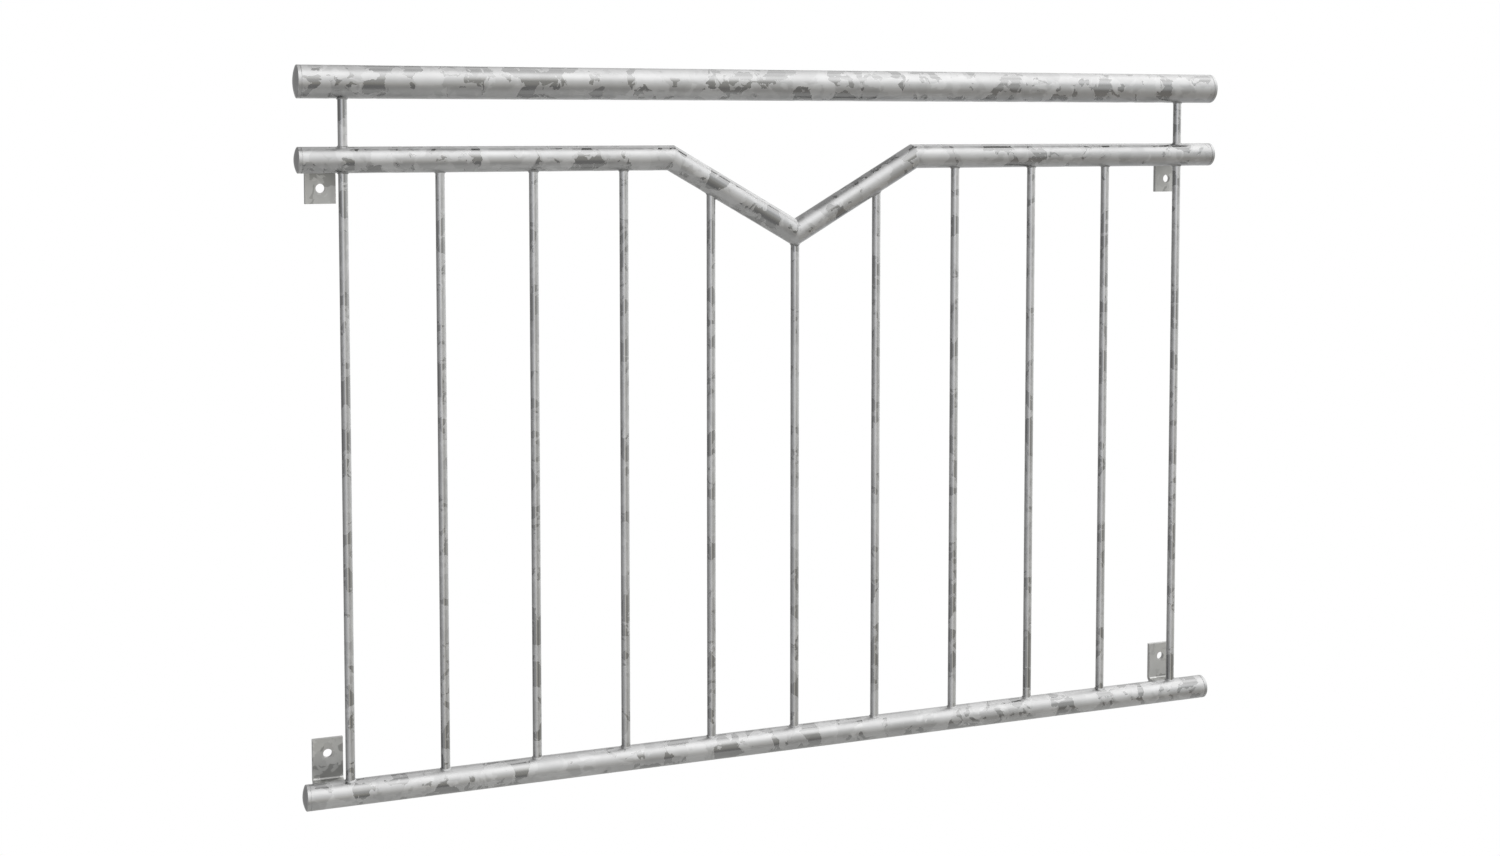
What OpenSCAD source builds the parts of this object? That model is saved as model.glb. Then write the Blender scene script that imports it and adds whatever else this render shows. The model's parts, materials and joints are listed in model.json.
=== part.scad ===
// Juliet balcony in hot-dip galvanised steel: three round rails, eleven round bars,
// an upper rail that dips into a V at mid-width, and four bent wall brackets.
// Millimetres. The origin lies on the wall face of the lower left bracket, at its
// mid-width and straight below its fixing hole. X runs along the rails, Y towards
// the wall, Z up.

/* [Overall] */
// Width over the domes of the end caps
overall_w = 1362; // [1130:1:2530]
// Clear height between the lower and the upper rail
infill_h = 782; // [600:1:1000]
// Clear height of the hand gap between the upper rail and the handrail
hand_gap = 60.5; // [45:0.5:120]

/* [Rails] */
// Outside diameter of the handrail tube
handrail_d = 42.4; // [33.7:0.1:60.3]
// Outside diameter of the upper and the lower rail tube
rail_d = 33.7; // [26.9:0.1:48.3]
// Wall of the rail tubes
tube_wall = 2.6; // [2:0.1:4]

/* [V in the upper rail] */
// How far the V dips below the upper rail
v_drop = 104.5; // [40:0.5:160]
// Half the width of the V, in bar spacings. Its corners stay clear of the bars
v_half_bays = 1.465; // [1.35:0.005:1.65]

/* [Bars] */
// Number of vertical bars, an odd number so that one stands under the V
bar_count = 11; // [9:2:21]
// Diameter of the round bars and of the handrail posts
bar_d = 12; // [10:0.5:20]
// Distance from the rim of the end caps to the middle of the outer bar
overhang = 57; // [52:1:90]

/* [End caps] */
// Thickness of the cap head up to its rim
cap_head_t = 5; // [2:0.5:8]
// Rise of the domed cap face above its rim
cap_dome = 4; // [1:0.5:6]
// Bevel on the rim of the cap head
rim_bevel = 0.5; // [0.2:0.1:1.2]
// Width of the fine groove between the tube end and the cap head
groove_w = 0.6; // [0.3:0.1:1.5]
// Depth of that groove
groove_depth = 0.8; // [0.3:0.1:1.5]
// Length of the spigot inside the tube
spigot_l = 16; // [12:1:30]
// Number of retaining ribs round the spigot
rib_count = 3; // [2:1:5]
// Width of one rib
rib_w = 1.2; // [0.8:0.1:2]
// Height of the ribs above the core of the spigot
rib_h = 1.2; // [0.5:0.1:2]
// Gap between the ribs and the bore of the tube
rib_gap = 0.1; // [0.05:0.05:0.4]

/* [Wall brackets] */
// Clear distance from the middle plane of the rails to the front of the wall leg
stand_off = 56; // [45:1:120]
// Width of the flat bar
bracket_w = 40; // [30:1:60]
// Thickness of the flat bar
bracket_t = 6; // [4:1:10]
// Length of the wall leg, from its free edge to the far side of the bend
bracket_leg = 60; // [50:1:90]
// Bevel along the four long edges of the flat bar
bar_bevel = 0.6; // [0.2:0.1:1.5]
// Inside radius of the bend
bend_r = 3; // [2:0.5:8]
// Distance from the middle of the outer bar to the near side of the bracket
bracket_offset = 0; // [-4:0.5:10]
// Drop of the arm's middle below the axis of its rail
arm_drop = 0.5; // [-3:0.5:3]
// Diameter of the fixing hole
fixing_hole_d = 12; // [8:0.5:14]
// Distance from the free edge of the wall leg to the middle of the hole
hole_edge = 20; // [14:0.5:26]
// Distance from the middle of the lower left hole down to the origin
origin_drop = 20; // [14:0.5:24]

/* [Hidden] */
$fn = 96;
// how far a cutting solid runs past what it cuts
past = 1;

rail_r = rail_d / 2;
handrail_r = handrail_d / 2;

// Heights of the rail axes above the axis of the lower rail
upper_z = infill_h + rail_d;
handrail_z = upper_z + rail_r + hand_gap + handrail_r;

// Places along the rails, from mid-width
rim_x = overall_w / 2 - cap_dome;
tube_end_x = rim_x - cap_head_t;
outer_bar_x = rim_x - overhang;
bar_pitch = 2 * outer_bar_x / (bar_count - 1);
middle_bar = (bar_count + 1) / 2;
v_half_w = v_half_bays * bar_pitch;
bracket_x = outer_bar_x + bracket_offset + bracket_w / 2;

// The upper rail's axis from end to end, as [x, z]
rail_path = [
    [-tube_end_x, upper_z],
    [-v_half_w, upper_z],
    [0, upper_z - v_drop],
    [v_half_w, upper_z],
    [tube_end_x, upper_z]
];
last_leg = len(rail_path) - 2;
// how far the uncut rod of a leg runs past its ends
leg_reach = 2 * rail_d;

// Wall face and the origin's place in the rail frame
wall_y = stand_off + bracket_t;
lower_hole_z = bracket_leg - hole_edge - bracket_t / 2 - arm_drop;
origin_x = -bracket_x;
origin_z = lower_hole_z - origin_drop;

function bar_name(i) = str("bar_", i < 10 ? "0" : "", i);
function bar_x(i) = (i - middle_bar) * bar_pitch;

// Direction of one leg of the upper rail's path, as an angle above +X
function leg_angle(i) =
    atan2(rail_path[i + 1][1] - rail_path[i][1], rail_path[i + 1][0] - rail_path[i][0]);
function leg_length(i) =
    norm([rail_path[i + 1][0] - rail_path[i][0], rail_path[i + 1][1] - rail_path[i][1]]);

// Tilt of the mitre at each end of a leg, half the turn between it and its neighbour
function start_tilt(i) = i == 0 ? 0 : (leg_angle(i - 1) - leg_angle(i)) / 2;
function end_tilt(i) = i == last_leg ? 0 : (leg_angle(i + 1) - leg_angle(i)) / 2;

// Moves a piece from the rail frame, with its zero at mid-width on the lower rail's
// axis, to the frame of the finished object
module from_rail_frame() {
    translate([-origin_x, -wall_y, -origin_z]) children();
}

// A round rod along X, centred on mid-width
module rod_x(r, half_l) {
    rotate([0, 90, 0]) cylinder(r = r, h = 2 * half_l, center = true);
}

module tube_x(r, half_l) {
    difference() {
        rod_x(r, half_l);
        rod_x(r - tube_wall, half_l + past);
    }
}

// One leg of the upper rail as a plain rod of radius r that runs past both its ends
module long_leg(i, r) {
    translate([rail_path[i][0], 0, rail_path[i][1]])
        rotate([0, 90 - leg_angle(i), 0])
            translate([0, 0, -leg_reach]) cylinder(r = r, h = leg_length(i) + 2 * leg_reach);
}

// The space between the two mitre planes of a leg
module mitre_wedge(i) {
    l = leg_length(i);
    skew_a = leg_reach * tan(start_tilt(i));
    skew_b = leg_reach * tan(end_tilt(i));
    translate([rail_path[i][0], 0, rail_path[i][1]])
        rotate([90, -leg_angle(i), 0])
            linear_extrude(height = 2 * leg_reach, center = true)
                polygon([
                    [skew_a, -leg_reach], [l + skew_b, -leg_reach],
                    [l - skew_b, leg_reach], [-skew_a, leg_reach]
                ]);
}

module upper_rail_leg(i) {
    color("silver")
        from_rail_frame()
            difference() {
                intersection() {
                    long_leg(i, rail_r);
                    mitre_wedge(i);
                }
                long_leg(i, rail_r - tube_wall);
            }
}

// The legs of the upper rail that a bar at x runs into
function legs_over(x) = [
    for (i = [0 : last_leg])
        if (x + bar_d / 2 > rail_path[i][0] && x - bar_d / 2 < rail_path[i + 1][0]) i
];

// What a bar at x loses to the upper rail. At the foot of the V that is the space
// inside both slopes
module saddle_at(x) {
    intersection_for (i = legs_over(x)) long_leg(i, rail_r);
}

module handrail() {
    color("silver")
        from_rail_frame()
            translate([0, 0, handrail_z]) tube_x(handrail_r, tube_end_x);
}

module lower_rail() {
    color("silver")
        from_rail_frame()
            tube_x(rail_r, tube_end_x);
}

// Domed head of a cap on a tube of outside radius r, along Z
module cap_head(r) {
    dome_r = (r * r + cap_dome * cap_dome) / (2 * cap_dome);
    bevel_z = cap_head_t - rim_bevel;
    bevel_h = rim_bevel + cap_dome + past;
    intersection() {
        union() {
            translate([0, 0, groove_w]) cylinder(r = r, h = bevel_z - groove_w);
            translate([0, 0, bevel_z]) cylinder(r1 = r, r2 = r - bevel_h, h = bevel_h);
        }
        translate([0, 0, cap_head_t + cap_dome - dome_r]) sphere(r = dome_r);
    }
}

// Spigot with retaining ribs, from Z = 0 down into a bore of radius bore_r
module cap_spigot(bore_r) {
    core_r = bore_r - rib_gap - rib_h;
    rib_pitch = (spigot_l - rib_h) / rib_count;
    translate([0, 0, -spigot_l]) {
        cylinder(r1 = core_r - rib_h, r2 = core_r, h = rib_h);
        translate([0, 0, rib_h]) cylinder(r = core_r, h = spigot_l - rib_h);
    }
    for (i = [1 : rib_count])
        translate([0, 0, -i * rib_pitch]) cylinder(r = core_r + rib_h, h = rib_w);
}

// Domed end cap on the +X end of a tube of outside radius r, its zero at the tube end
module end_cap(r) {
    rotate([0, 90, 0]) {
        cap_head(r);
        cylinder(r = r - groove_depth, h = groove_w);
        cap_spigot(r - tube_wall);
    }
}

// side is -1 for the left end and 1 for the right end
module cap_at(side, z, r) {
    color("gray")
        from_rail_frame()
            translate([side * tube_end_x, 0, z])
                rotate([0, 0, side > 0 ? 0 : 180]) end_cap(r);
}

// A vertical bar, saddle-cut to the rails it stands between
module bar(i) {
    color("gainsboro")
        from_rail_frame()
            difference() {
                translate([bar_x(i), 0, 0]) cylinder(d = bar_d, h = bar_top_z(i));
                rod_x(rail_r, tube_end_x);
                saddle_at(bar_x(i));
            }
}

// Height of the upper rail's axis above one bar
function bar_top_z(i) =
    upper_z - v_drop * max(0, 1 - abs(bar_x(i)) / v_half_w);

module handrail_post(side) {
    color("gainsboro")
        from_rail_frame()
            difference() {
                translate([side * outer_bar_x, 0, upper_z])
                    cylinder(d = bar_d, h = handrail_z - upper_z);
                saddle_at(side * outer_bar_x);
                translate([0, 0, handrail_z]) rod_x(handrail_r, tube_end_x);
            }
}

// Cross-section of the flat bar, its middle at the origin and its width along X
module flat_bar_section() {
    half_w = bracket_w / 2;
    half_t = bracket_t / 2;
    corner = [[half_w, half_t - bar_bevel], [half_w - bar_bevel, half_t]];
    polygon([
        corner[0], corner[1],
        [-corner[1][0], corner[1][1]], [-corner[0][0], corner[0][1]],
        -corner[0], -corner[1],
        [corner[1][0], -corner[1][1]], [corner[0][0], -corner[0][1]]
    ]);
}

// A bracket with its wall leg up. Its zero is at mid-thickness of the arm, on the middle
// plane of the rails, and the axis of its rail lies rail_above over that
module bent_bracket(rail_above) {
    half_t = bracket_t / 2;
    bend_z = half_t + bend_r;
    leg_top = bracket_leg - half_t;
    difference() {
        union() {
            translate([0, stand_off + half_t, bend_z])
                linear_extrude(height = leg_top - bend_z) flat_bar_section();
            rotate([-90, 0, 0])
                linear_extrude(height = stand_off - bend_r) flat_bar_section();
            translate([0, stand_off - bend_r, bend_z])
                rotate([0, 90, 0])
                    rotate_extrude(angle = 90)
                        translate([bend_z, 0]) rotate([0, 0, 90]) flat_bar_section();
        }
        translate([0, stand_off - past, leg_top - hole_edge])
            rotate([-90, 0, 0]) cylinder(d = fixing_hole_d, h = bracket_t + 2 * past);
        translate([0, 0, rail_above]) rod_x(rail_r, bracket_w);
    }
}

module bracket_lower(side) {
    color("darkgray")
        from_rail_frame()
            translate([side * bracket_x, 0, -arm_drop]) bent_bracket(arm_drop);
}

// The upper brackets are the same part turned over, with the wall leg down
module bracket_upper(side) {
    color("darkgray")
        from_rail_frame()
            translate([side * bracket_x, 0, upper_z - arm_drop])
                mirror([0, 0, 1]) bent_bracket(-arm_drop);
}

handrail();
cap_at(-1, handrail_z, handrail_r);  // handrail_cap_left
cap_at(1, handrail_z, handrail_r);  // handrail_cap_right
upper_rail_leg(0);  // upper_rail_left
upper_rail_leg(1);  // upper_rail_slope_left
upper_rail_leg(2);  // upper_rail_slope_right
upper_rail_leg(3);  // upper_rail_right
cap_at(-1, upper_z, rail_r);  // upper_rail_cap_left
cap_at(1, upper_z, rail_r);  // upper_rail_cap_right
lower_rail();
cap_at(-1, 0, rail_r);  // lower_rail_cap_left
cap_at(1, 0, rail_r);  // lower_rail_cap_right
for (i = [1 : bar_count])
    bar(i);
handrail_post(-1);  // handrail_post_left
handrail_post(1);  // handrail_post_right
bracket_upper(-1);  // bracket_upper_left
bracket_upper(1);  // bracket_upper_right
bracket_lower(-1);  // bracket_lower_left
bracket_lower(1);  // bracket_lower_right
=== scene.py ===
# Juliet balcony of round tube and round bar, hot-dip galvanised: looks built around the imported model
import json
import math

import bpy
import numpy as np
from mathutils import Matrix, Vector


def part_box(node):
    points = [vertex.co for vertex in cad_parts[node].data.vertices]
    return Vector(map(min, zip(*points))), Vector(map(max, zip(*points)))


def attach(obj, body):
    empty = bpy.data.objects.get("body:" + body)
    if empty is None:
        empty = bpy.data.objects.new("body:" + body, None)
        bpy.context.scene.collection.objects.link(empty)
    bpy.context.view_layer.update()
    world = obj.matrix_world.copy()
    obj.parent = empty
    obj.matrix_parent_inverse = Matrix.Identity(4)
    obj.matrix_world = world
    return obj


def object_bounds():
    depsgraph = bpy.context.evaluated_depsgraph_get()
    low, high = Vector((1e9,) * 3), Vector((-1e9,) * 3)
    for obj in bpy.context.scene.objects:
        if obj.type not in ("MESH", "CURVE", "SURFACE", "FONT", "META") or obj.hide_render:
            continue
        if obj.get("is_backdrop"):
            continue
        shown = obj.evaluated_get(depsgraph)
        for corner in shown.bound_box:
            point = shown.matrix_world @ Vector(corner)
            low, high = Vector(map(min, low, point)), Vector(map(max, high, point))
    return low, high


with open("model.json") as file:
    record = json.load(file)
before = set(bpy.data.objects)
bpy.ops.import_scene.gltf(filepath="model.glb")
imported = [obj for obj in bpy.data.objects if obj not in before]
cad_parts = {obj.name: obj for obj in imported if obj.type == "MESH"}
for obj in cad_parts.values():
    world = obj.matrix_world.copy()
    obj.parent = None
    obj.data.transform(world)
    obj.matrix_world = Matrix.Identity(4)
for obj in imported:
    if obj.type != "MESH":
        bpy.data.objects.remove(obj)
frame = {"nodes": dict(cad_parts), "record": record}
cadLow, cadHigh = (list(corner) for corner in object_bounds())
cadNodes = frame["nodes"]
scene = bpy.context.scene
print("frame loaded:", len(cadNodes), "nodes")


# shared helpers

mm = 0.001  # m


def linearColour(code):  # sRGB hex such as "#b4b4b2" to linear red, green, blue, alpha
    parts = [int(code[i:i + 2], 16) / 255 for i in (1, 3, 5)]
    return tuple(p / 12.92 if p <= 0.04045 else ((p + 0.055) / 1.055) ** 2.4 for p in parts) + (1.0,)


def direction(heading, elevation):  # unit vector, heading in degrees from +Y towards +X, elevation upwards
    h, e = math.radians(heading), math.radians(elevation)
    return (math.sin(h) * math.cos(e), math.cos(h) * math.cos(e), math.sin(e))


def addNode(tree, kind, inputs=None, stops=None, **settings):
    # a node with its settings and links, and for a colour ramp the stops of its steps
    node = tree.nodes.new(kind)
    for key, value in settings.items():
        setattr(node, key, value)
    for key, value in (inputs or {}).items():
        if isinstance(value, bpy.types.NodeSocket):
            tree.links.new(value, node.inputs[key])
        else:
            node.inputs[key].default_value = value
    if stops:
        node.color_ramp.interpolation = "CONSTANT"
    for i, (position, colour) in enumerate(stops or []):
        stop = node.color_ramp.elements[i] if i < 2 else node.color_ramp.elements.new(position)
        stop.position, stop.color = position, colour
    return node


# camera, where the photograph was taken from

cameraValues = {
    "place": (-0.386183, -2.515139, 0.843038),  # m, in front of the panel and left of it
    "heading": 21.3583,  # degrees from +Y towards +X
    "tilt": -3.4246,  # degrees, looking slightly down
    "focalLength": 46.1194,  # mm
    "sensorWidth": 36.0,  # mm
    "shiftUp": -0.125168,  # share of the picture's width
}
cameraData = bpy.data.cameras.new("photoCamera")
cameraData.sensor_width = cameraValues["sensorWidth"]
cameraData.lens = cameraValues["focalLength"]
cameraData.shift_y = cameraValues["shiftUp"]
camera = bpy.data.objects.new("photoCamera", cameraData)
camera.location = cameraValues["place"]
camera.rotation_euler = (math.radians(90 + cameraValues["tilt"]), 0,
                         -math.radians(cameraValues["heading"]))
scene.collection.objects.link(camera)
scene.camera = camera
scene.view_settings.view_transform = "Standard"
print("camera placed")


# studio: the light is the world itself, soft pools and a white backdrop, the same for every ray

studioValues = {
    "level": 0.354,  # what comes from every side and from below
    "pools": [  # heading, elevation, radius of the full part and where it ends, all in degrees, level, tint
        (180, 50, 5, 40, 1.21, "#ffffff"),  # large softbox above the front and the right
        (120, 50, 5, 40, 1.16, "#ffffff"),
        (60, 50, 5, 40, 1.08, "#ffffff"),
        (0, 50, 5, 40, 0.11, "#ffffff"),
        (200, 10, 5, 35, 1.18, "#f3f6ff"),  # small softbox beside the camera, and the room to its right
        (165, 10, 5, 35, 0.24, "#fffbe8"),
        (130, 10, 5, 35, 0.48, "#f4f9ff"),
        (95, 10, 5, 35, 0.78, "#ffffff"),
        (60, 10, 5, 35, 1.02, "#ffffff"),
        (190, -13, 2, 22, 0.352, "#fff3c8"),  # warm strip low in front, which gives the olive edge
        (110, -13, 2, 22, 0.154, "#fcffc8"),
        (240, -30, 5, 40, 0.32, "#fbfdff"),  # bounce from the ground
        (120, -30, 5, 40, 0.07, "#ffe0a0"),
        (60, -30, 5, 40, 0.32, "#f6faff"),
    ],
    "backdrop": (21.4, -9, 26, 36),  # heading, elevation and radii of the white behind the object
}


def paintWorld(values):
    world = bpy.data.worlds.new("softStudio")
    scene.world = world
    world.use_nodes = True
    tree = world.node_tree
    tree.nodes.clear()
    ray = addNode(tree, "ShaderNodeTexCoord").outputs["Generated"]

    def pool(heading, elevation, inner, outer):  # 1 inside the pool, falling smoothly to 0 at its rim
        along = addNode(tree, "ShaderNodeVectorMath", {0: ray, 1: direction(heading, elevation)},
                        operation="DOT_PRODUCT").outputs["Value"]
        rim, full = math.cos(math.radians(outer)), math.cos(math.radians(inner))
        return addNode(tree, "ShaderNodeMapRange", {"Value": along, "From Min": rim, "From Max": full},
                       interpolation_type="SMOOTHSTEP").outputs["Result"]

    total = (values["level"],) * 3
    for *shape, level, tint in values["pools"]:
        light = tuple(level * part for part in linearColour(tint)[:3])
        total = addNode(tree, "ShaderNodeVectorMath", {0: pool(*shape), 1: light, 2: total},
                        operation="MULTIPLY_ADD").outputs["Vector"]
    # the backdrop stands behind the object, and the camera and the metal see the same one
    white = (1, 1, 1, 1)
    total = addNode(tree, "ShaderNodeMix", {0: pool(*values["backdrop"]), 6: total, 7: white},
                    data_type="RGBA").outputs[2]
    shade = addNode(tree, "ShaderNodeBackground", {"Color": total, "Strength": 1.0})
    addNode(tree, "ShaderNodeOutputWorld", {"Surface": shade.outputs["Background"]})


paintWorld(studioValues)

floorValues = {
    "drop": 1.2,  # m below the lower rail
    "solid": 1.3,  # m, radius of the full floor
    "radius": 2.3,  # m, where it has faded out, still outside the picture
    "colour": "#c4c4c2",
    "roughness": 0.9,
    "rings": 24,  # of faces from the middle outwards
    "sides": 96,
}


def makeFloor(values, middle, height):
    # a flat disc: the middle plus s * radius * (cos a, sin a), s running to 1 and a round the circle
    s, a = np.meshgrid(np.linspace(0, 1, values["rings"] + 1)[1:],
                       np.linspace(0, 2 * np.pi, values["sides"], endpoint=False), indexing="ij")
    reach = s * values["radius"]
    rim = np.stack([middle[0] + reach * np.cos(a), middle[1] + reach * np.sin(a), np.full_like(s, height)],
                   -1).reshape(-1, 3)
    points = np.vstack([rim, [[middle[0], middle[1], height]]])
    ring, side = np.meshgrid(np.arange(values["rings"] - 1), np.arange(values["sides"]), indexing="ij")
    here, there = ring * values["sides"] + side, ring * values["sides"] + (side + 1) % values["sides"]
    quads = np.stack([here, here + values["sides"], there + values["sides"], there], -1).reshape(-1, 4)
    around = np.arange(values["sides"])
    fan = np.stack([np.full_like(around, len(points) - 1), around, (around + 1) % values["sides"]], -1)
    mesh = bpy.data.meshes.new("floor")
    mesh.from_pydata(points.tolist(), [], quads.tolist() + fan.tolist())
    floor = bpy.data.objects.new("floor", mesh)
    scene.collection.objects.link(floor)
    paint = bpy.data.materials.new("paleStudioFloor")  # matt paint: soft shadow, no gloss
    paint.use_nodes = True
    tree = paint.node_tree
    tree.nodes.clear()
    place = addNode(tree, "ShaderNodeTexCoord").outputs["Object"]
    away = addNode(tree, "ShaderNodeVectorMath", {0: place, 1: (middle[0], middle[1], height)},
                   operation="DISTANCE").outputs["Value"]
    solid = addNode(tree, "ShaderNodeMapRange", {
        "Value": away, "From Min": values["solid"], "From Max": values["radius"],
        "To Min": 1.0, "To Max": 0.0}, interpolation_type="SMOOTHSTEP").outputs["Result"]
    shade = addNode(tree, "ShaderNodeBsdfPrincipled", {
        "Base Color": linearColour(values["colour"]), "Roughness": values["roughness"],
        "Alpha": solid})
    addNode(tree, "ShaderNodeOutputMaterial", {"Surface": shade.outputs["BSDF"]})
    mesh.materials.append(paint)
    floor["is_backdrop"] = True


makeFloor(floorValues, ((cadLow[0] + cadHigh[0]) / 2, (cadLow[1] + cadHigh[1]) / 2),
          cadLow[2] - floorValues["drop"])
print("studio lit")


# hot-dip galvanised steel
# Zinc that froze on dipped steel: crisp frost-like grains in three greys, satin, the dark grains a little
# smoother than the light ones. The steel under it doesn't show.

tubeValues = {
    "name": "hotDipGalvanisedTube",
    "grain": 26,  # mm across the large grains
    "speck": 8,  # mm across the small ones
    "bends": [  # noises that bend the grain borders: mm across, mm that they move a point, detail
        (28.6, 15, 1.0),  # long wander
        (11, 5.5, 1.0),  # rounded lobes
        (4.2, 3.5, 4.0),  # torn edge
    ],
    "darkShare": 0.26,  # of the large grains
    "lightShare": 0.35,
    "speckShare": 0.11,  # of the small grains that are darker, and as many that are lighter
    "dark": "#999999", "middle": "#b4b4b4", "light": "#bdbdbd",
    "roughness": (0.17, 0.38, 0.46),  # dark, middle and light grains
    "cloud": 12,  # mm across the faint clouds within the grains
    "cloudDetail": 5.0,
    "uneven": 0.10,  # share that a grain and its clouds are lighter or darker at most
    "relief": 0.06,  # mm between the grains
    "reliefStrength": 0.5,
    "seed": (0.0, 0.0, 0.0),  # m that the pattern is moved by
}
barValues = dict(tubeValues, name="hotDipGalvanisedBar", seed=(3.1, 1.7, 0.6))
# rolled flat bar takes thicker zinc: lighter and duller, with fewer dark grains
bracketValues = dict(tubeValues, name="hotDipGalvanisedFlatBar", seed=(5.3, 2.9, 4.2), darkShare=0.16,
                     dark="#a0a09e", middle="#bcbcba", light="#c6c6c4", roughness=(0.40, 0.46, 0.46))
# thin pressed steel cools fast: one even grey without large grains
capValues = dict(tubeValues, name="galvanisedPressedCap", darkShare=0.0, lightShare=0.0, speckShare=0.0,
                 seed=(7.7, 6.1, 2.2))
# weld metal takes the zinc in small dull grains
beadValues = dict(tubeValues, name="galvanisedWeldBead", seed=(1.4, 8.3, 5.6), grain=9, speck=4,
                  bends=[(9.9, 5, 1.0), (4, 2, 1.0), (2.4, 2, 4.0)],
                  dark="#8e8e8e", middle="#a2a2a2", light="#acacac", roughness=(0.30, 0.42, 0.46))


def galvanised(values):
    metal = bpy.data.materials.new(values["name"])
    metal.use_nodes = True
    tree = metal.node_tree
    tree.nodes.clear()
    place = addNode(tree, "ShaderNodeTexCoord").outputs["Object"]
    place = addNode(tree, "ShaderNodeMapping", {
        "Vector": place, "Location": values["seed"]}).outputs["Vector"]
    torn = place
    for size, reach, detail in values["bends"]:  # each moves a point by up to about its reach
        noise = addNode(tree, "ShaderNodeTexNoise", {
            "Vector": torn, "Scale": 1 / (size * mm), "Detail": detail}).outputs["Color"]
        push = addNode(tree, "ShaderNodeVectorMath", {0: noise, 1: (0.5,) * 3},  # 0.5 is the noise's middle
                       operation="SUBTRACT").outputs["Vector"]
        torn = addNode(tree, "ShaderNodeVectorMath", {0: push, 1: (2 * reach * mm,) * 3, 2: torn},
                       operation="MULTIPLY_ADD").outputs["Vector"]

    def grains(size):  # two random numbers for each grain of that many mm
        cells = addNode(tree, "ShaderNodeTexVoronoi", {
            "Vector": torn, "Scale": 1 / (size * mm)}).outputs["Color"]
        parts = addNode(tree, "ShaderNodeSeparateColor", {"Color": cells}).outputs
        return parts[0], parts[1]

    def steps(value, marks, colours):  # the colour of the highest mark that the value has reached
        return addNode(tree, "ShaderNodeValToRGB", {"Fac": value}, stops=zip(marks, colours)).outputs["Color"]

    large, own = grains(values["grain"])
    small, _ = grains(values["speck"])
    low, half, high = (0, 0, 0, 1), (0.5, 0.5, 0.5, 1), (1, 1, 1, 1)
    # tone is 0, 0.5 or 1 for dark, middle and light grains, and the specks shift it by 0.5 either way
    tone = steps(large, (0, values["darkShare"], 1 - values["lightShare"]), (low, half, high))
    stain = steps(small, (0, values["speckShare"], 1 - values["speckShare"]), (high, half, low))
    tone = addNode(tree, "ShaderNodeMath", {0: tone, 1: stain}, operation="ADD").outputs["Value"]
    tone = addNode(tree, "ShaderNodeMath", {0: tone, 1: 0.5},
                   operation="SUBTRACT", use_clamp=True).outputs["Value"]
    toneMarks = (0, 0.25, 0.75)
    paint = steps(tone, toneMarks, [linearColour(values[grey]) for grey in ("dark", "middle", "light")])
    rough = steps(tone, toneMarks, [(level, level, level, 1) for level in values["roughness"]])
    cloud = addNode(tree, "ShaderNodeTexNoise", {
        "Vector": place, "Scale": 1 / (values["cloud"] * mm), "Detail": values["cloudDetail"]}).outputs["Fac"]
    uneven = addNode(tree, "ShaderNodeMath", {0: own, 1: cloud}, operation="ADD").outputs["Value"]
    uneven = addNode(tree, "ShaderNodeMapRange", {  # the sum seldom leaves 0.3 to 1.7
        "Value": uneven, "From Min": 0.3, "From Max": 1.7,
        "To Min": 1 - values["uneven"], "To Max": 1 + values["uneven"]}).outputs["Result"]
    paint = addNode(tree, "ShaderNodeVectorMath", {0: paint, 1: uneven},
                    operation="MULTIPLY").outputs["Vector"]
    bump = addNode(tree, "ShaderNodeBump", {
        "Height": tone, "Distance": values["relief"] * mm,
        "Strength": values["reliefStrength"]}).outputs["Normal"]
    shade = addNode(tree, "ShaderNodeBsdfPrincipled", {
        "Base Color": paint, "Metallic": 1.0, "Roughness": rough, "Normal": bump})
    addNode(tree, "ShaderNodeOutputMaterial", {"Surface": shade.outputs["BSDF"]})
    return metal


finishes = {
    "galvanised_tube": galvanised(tubeValues),
    "galvanised_bar": galvanised(barValues),
    "galvanised_bracket": galvanised(bracketValues),
    "end_cap_steel": galvanised(capValues),
}
slotOf = {part["node"]: part["material_slot"] for part in frame["record"]["subparts"]}
for name, node in cadNodes.items():
    node.data.materials.clear()
    node.data.materials.append(finishes[slotOf[name]])
print("finishes given")

# welds: a small fillet round each bar end, post end and bracket arm, galvanised over with the rest

weldValues = {
    "leg": 1.4,  # mm that the bead climbs the one part and spreads on the other
    "sunk": 0.15,  # share of the leg that its edges and root reach into both parts
    "crown": 0.15,  # mm that its face swells
    "ripple": 0.07,  # mm, height of the ripples along it
    "pitch": 2.2,  # mm from ripple to ripple
    "bow": 0.35,  # of a ripple, that the ripples lag at the edges of the face
    "uneven": 0.07,  # share by which its leg varies
    "waves": 3,  # times that it does so in one round
    "step": 0.3,  # mm between the points along it
    "fewest": 24,  # points along it
    "across": 9,  # points over its face
    "corner": 1.2,  # mm, radius at which it turns round the edges of the bracket's arm
    "armHeight": 6,  # mm, thickness of the arm
    "vHalf": 181.66,  # mm, half the width of the V
    "vDrop": 104.5,  # mm, its depth
    "turn": 2.4,  # radians between the ripples of one weld and the next
}


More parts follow.
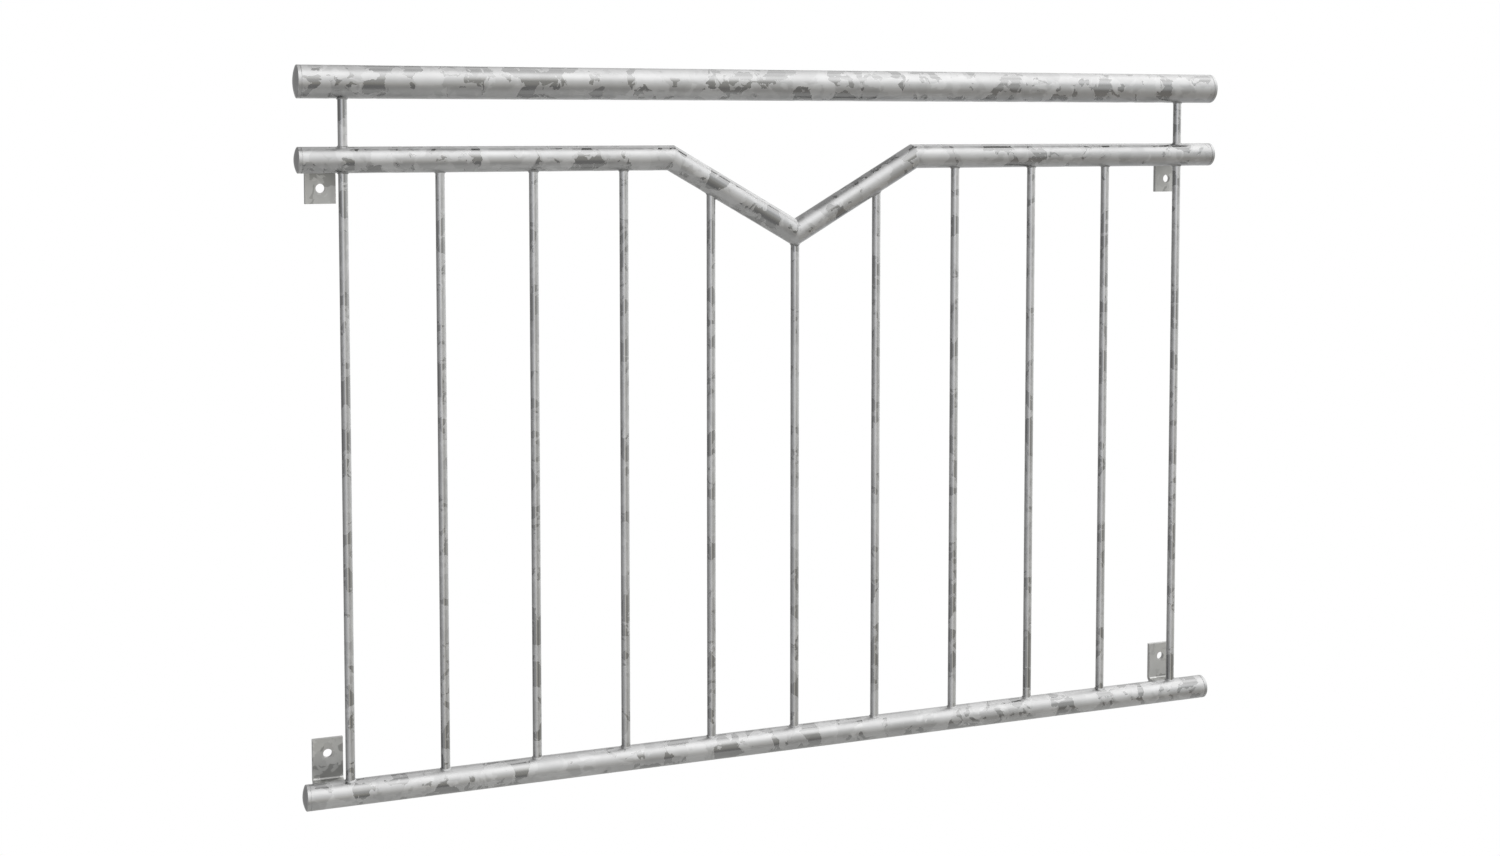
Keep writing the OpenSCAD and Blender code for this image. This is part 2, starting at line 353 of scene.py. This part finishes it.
def beadSurface(values, outline, normal, length, surface, away, phase):
    # a closed ring: at s along the outline, the point at t over the bead's face lies leg * t out from the
    # outline and leg * (1 - t) over the surface, raised along the diagonal by crown and ripples times
    # sin(pi * t). The last point of each section is the root, sunk into both parts
    count = max(values["fewest"], round(length / (values["step"] * mm)))
    s = np.linspace(0, 1, count, endpoint=False)[:, None]
    t = np.linspace(-values["sunk"], 1 + values["sunk"], values["across"])[None, :]
    ripples = round(length / (values["pitch"] * mm))
    leg = values["leg"] * mm * (1 + values["uneven"] * np.sin(2 * np.pi * values["waves"] * s + phase))
    wave = np.cos(2 * np.pi * (ripples * s + values["bow"] * (2 * t - 1) ** 2) + phase)
    swell = (values["crown"] + values["ripple"] * wave) * mm * np.sin(np.pi * np.clip(t, 0, 1)) / math.sqrt(2)
    root = np.full_like(s, -values["sunk"]) * leg
    out = np.hstack([leg * t + swell, root])
    up = np.hstack([leg * (1 - t) + swell, root])
    (a, b), (na, nb) = outline(s), normal(s)
    a, b = a + out * na, b + out * nb
    return np.stack([a, b, surface(a, b) + away * up], -1)


def ringFaces(grid):  # quads over a grid that closes both ways
    rows, columns = np.meshgrid(*map(np.arange, grid.shape[:2]), indexing="ij")
    index = rows * grid.shape[1] + columns
    right, below = np.roll(index, -1, 1), np.roll(index, -1, 0)
    return np.stack([index, below, np.roll(right, -1, 0), right], -1).reshape(-1, 4)


def outwards(points, faces):  # faces turned round if they enclose a negative volume
    corners = points[faces[:, :3]] - points.mean(0)
    volume = np.einsum("ij,ij->", corners[:, 0], np.cross(corners[:, 1], corners[:, 2]))
    return faces if volume > 0 else faces[:, ::-1]


def roundOutline(x, y, radius):  # a circle, as s runs from 0 to 1
    return (lambda s: (x + radius * np.cos(2 * np.pi * s), y + radius * np.sin(2 * np.pi * s)),
            lambda s: (np.cos(2 * np.pi * s), np.sin(2 * np.pi * s)), 2 * np.pi * radius)


def flatOutline(x, z, width, height, corner):
    # a rounded rectangle, as s runs from 0 to 1: the middle of the nearest corner plus corner * the normal,
    # where the normal stands still along the sides and turns evenly through the corners
    sides = np.array([height - 2 * corner, width - 2 * corner] * 2)
    bend = np.pi / 2 * corner
    marks = np.concatenate([[0], np.cumsum(np.stack([sides, np.full(4, bend)], 1).ravel())])
    turns = np.pi / 2 * np.array([0, 0, 1, 1, 2, 2, 3, 3, 4])
    cornersX = (width / 2 - corner) * np.array([1, 1, 1, -1, -1, -1, -1, 1, 1])
    cornersZ = (height / 2 - corner) * np.array([-1, 1, 1, 1, 1, -1, -1, -1, -1])
    length = marks[-1]

    def normal(s):
        turn = np.interp(s * length, marks, turns)
        return np.cos(turn), np.sin(turn)

    def outline(s):
        na, nb = normal(s)
        return (x + np.interp(s * length, marks, cornersX) + corner * na,
                z + np.interp(s * length, marks, cornersZ) + corner * nb)

    return outline, normal, length


def barWelds(values, names, under, over):
    # fillets at the foot and the head of upright round bars: under and over give the height of the rail's
    # surface above a point of the plan, or None
    surfaces = []
    for name in names:
        low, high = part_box(name)
        x, y, radius = (low[0] + high[0]) / 2, (low[1] + high[1]) / 2, (high[0] - low[0]) / 2
        for surface, away in ((under, 1), (over, -1)):
            if surface:
                surfaces.append(beadSurface(values, *roundOutline(x, y, radius), surface, away,
                                            values["turn"] * len(surfaces)))
    return surfaces


def bracketWelds(values, names):  # fillets round the arms, on the backs of the rails
    surfaces = []
    for name in names:
        low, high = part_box(name)
        railLow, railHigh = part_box("lower_rail" if "lower" in name else "upper_rail_left")
        railY, railZ = (railLow[1] + railHigh[1]) / 2, (railLow[2] + railHigh[2]) / 2
        radius, half = (railHigh[1] - railLow[1]) / 2, values["armHeight"] * mm / 2
        armZ = low[2] + half if "lower" in name else high[2] - half
        outline = flatOutline((low[0] + high[0]) / 2, armZ, high[0] - low[0], 2 * half, values["corner"] * mm)
        bead = beadSurface(values, *outline, lambda x, z: railY + np.sqrt(radius ** 2 - (z - railZ) ** 2), 1,
                           values["turn"] * len(surfaces))
        surfaces.append(bead[..., [0, 2, 1]])
    return surfaces


def levelRail(name, side):  # height of a level round rail's surface, side 1 on top and -1 underneath
    low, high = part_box(name)
    y, z, radius = (low[1] + high[1]) / 2, (low[2] + high[2]) / 2, (high[2] - low[2]) / 2
    return lambda a, b: z + side * np.sqrt(radius ** 2 - (b - y) ** 2)


def dippedRail(values):
    # the same for the underside of the rail with the V, where a round rod cut upright is taller by
    # 1 / cos of its slope
    low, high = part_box("upper_rail_left")
    half, drop = values["vHalf"] * mm, values["vDrop"] * mm
    y, z, radius = (low[1] + high[1]) / 2, (low[2] + high[2]) / 2, (high[1] - low[1]) / 2
    middle = (cadLow[0] + cadHigh[0]) / 2

    def height(a, b):
        inside = np.abs(a - middle) < half
        axis = z - drop * np.clip(1 - np.abs(a - middle) / half, 0, 1)
        return axis - np.where(inside, math.hypot(1, drop / half), 1) * np.sqrt(radius ** 2 - (b - y) ** 2)

    return height


def addPiece(name, surfaces, finish):  # one mesh of closed rings that rides on the railing
    points, faces = [], []
    for surface in surfaces:
        own = surface.reshape(-1, 3)
        faces.append(outwards(own, ringFaces(surface)) + sum(map(len, points)))
        points.append(own)
    mesh = bpy.data.meshes.new(name)
    mesh.from_pydata(np.vstack(points).tolist(), [], np.vstack(faces).tolist())
    mesh.shade_smooth()
    mesh.materials.append(finish)
    piece = bpy.data.objects.new(name, mesh)
    scene.collection.objects.link(piece)
    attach(piece, "root")


bars = sorted(name for name in cadNodes if name.startswith("bar_"))
posts = ["handrail_post_left", "handrail_post_right"]
brackets = sorted(name for name in cadNodes if name.startswith("bracket_"))
weldFinish = galvanised(beadValues)
addPiece("lowerRailWelds", barWelds(weldValues, bars, levelRail("lower_rail", 1), None),
         weldFinish)
addPiece("upperRailWelds", barWelds(weldValues, bars, None, dippedRail(weldValues))
         + barWelds(weldValues, posts, levelRail("upper_rail_left", 1), None),
         weldFinish)
addPiece("handrailWelds", barWelds(weldValues, posts, None, levelRail("handrail", -1)),
         weldFinish)
addPiece("bracketWelds", bracketWelds(weldValues, brackets), weldFinish)
print("welds made")
